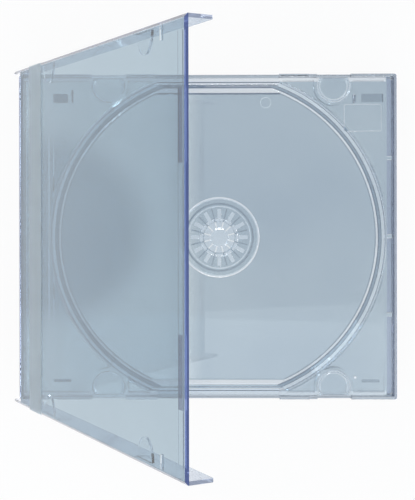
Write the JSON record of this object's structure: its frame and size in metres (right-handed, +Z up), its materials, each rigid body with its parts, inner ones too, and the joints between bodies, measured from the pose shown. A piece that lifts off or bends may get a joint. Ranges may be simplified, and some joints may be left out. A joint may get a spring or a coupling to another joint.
{
  "type": "compact disc jewel case",
  "caption": "Clear hinged case for one disc: base, snapped-in disc tray with a fingered hub, and a lid that stands open.",
  "frame": {"origin": "middle of the base's flat back face, which lies on the table", "axes": "+X from the hinge to the opening side, +Y along the hinge, +Z up from the back face towards the open lid"},
  "size_m": [0.1439, 0.125, 0.1276],
  "materials": {
    "base_polystyrene": "clear, glossy, slight blue tint",
    "tray_polystyrene": "clear, glossy, slight blue tint",
    "lid_polystyrene": "clear, glossy, slight blue tint, violet-blue at the edges"
  },
  "bodies": {
    "base": {"base": "base_polystyrene", "tray": "tray_polystyrene"},
    "lid": {"lid": "lid_polystyrene"}
  },
  "joints": [
    {"name": "lid_hinge", "type": "hinge", "parent": "base", "child": "lid", "pos_m": [-0.0674, 0, 0.0044], "axis": [0, -1, 0], "range_deg": [-60.5, 119.5]}
  ]
}
